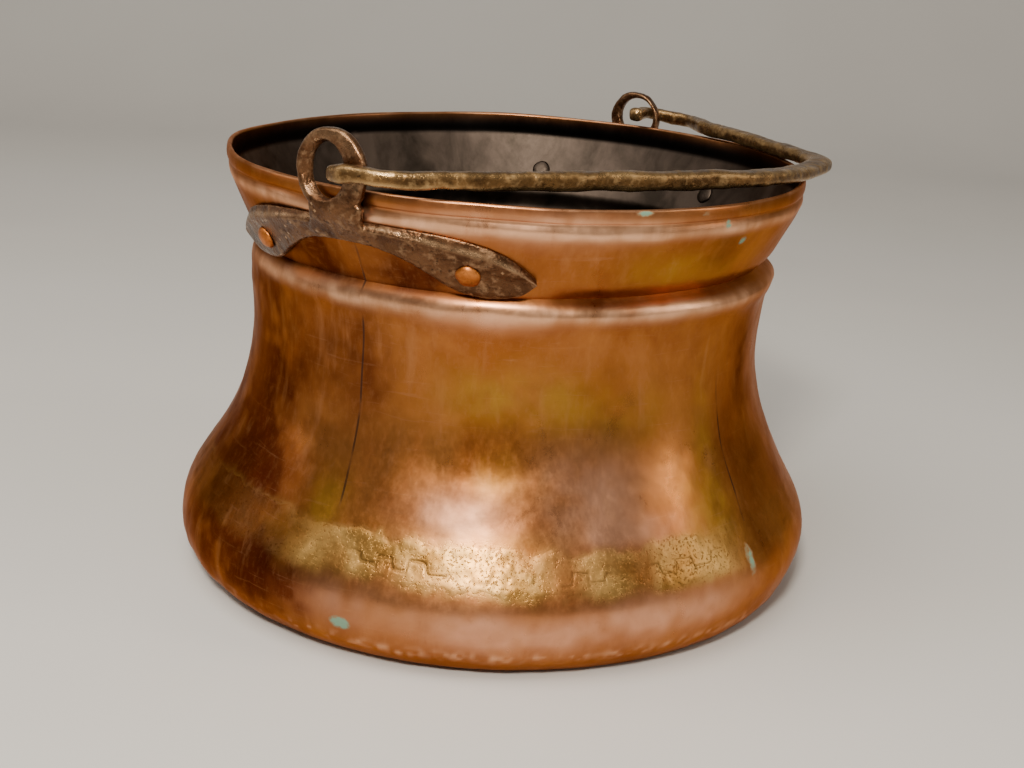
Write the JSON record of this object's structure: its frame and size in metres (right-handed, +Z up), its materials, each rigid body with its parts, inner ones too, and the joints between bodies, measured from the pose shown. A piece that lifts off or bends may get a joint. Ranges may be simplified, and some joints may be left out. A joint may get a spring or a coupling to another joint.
{
  "type": "bail-handled copper cauldron",
  "caption": "Waisted copper cooking pot with a flared neck, brazed seams, riveted iron ears and a swinging forged iron bail.",
  "frame": {"origin": "middle of the flat base, on the surface the pot stands on", "axes": "+Z up; Y along the bail's hinge line through both ears; the bail lies folded towards +X"},
  "size_m": [0.31, 0.31, 0.2264],
  "materials": {
    "copper_wall": "worn hand-polished copper with brown patina",
    "copper_pan": "worn hand-polished copper",
    "spelter": "brass spelter, hammered and worn",
    "iron_ear": "forged iron, brown oxide",
    "iron_bail": "forged iron, worn bright on top",
    "rivet_copper": "hammered copper"
  },
  "bodies": {
    "pot": {"bottom_pan": "copper_pan", "pan_braze": "spelter", "front_wall_sheet": "copper_wall", "main_wall_sheet": "copper_wall", "left_seam_braze": "spelter", "right_seam_braze": "spelter", "front_ear": "iron_ear", "back_ear": "iron_ear", "rivet_front_left": "rivet_copper", "rivet_front_right": "rivet_copper", "rivet_back_left": "rivet_copper", "rivet_back_right": "rivet_copper"},
    "bail": {"bail": "iron_bail"}
  },
  "joints": [
    {"name": "bail_hinge", "type": "hinge", "parent": "pot", "child": "bail", "pos_m": [0, 0, 0.2082], "axis": [0, -1, 0], "range_deg": [0, 181]}
  ]
}
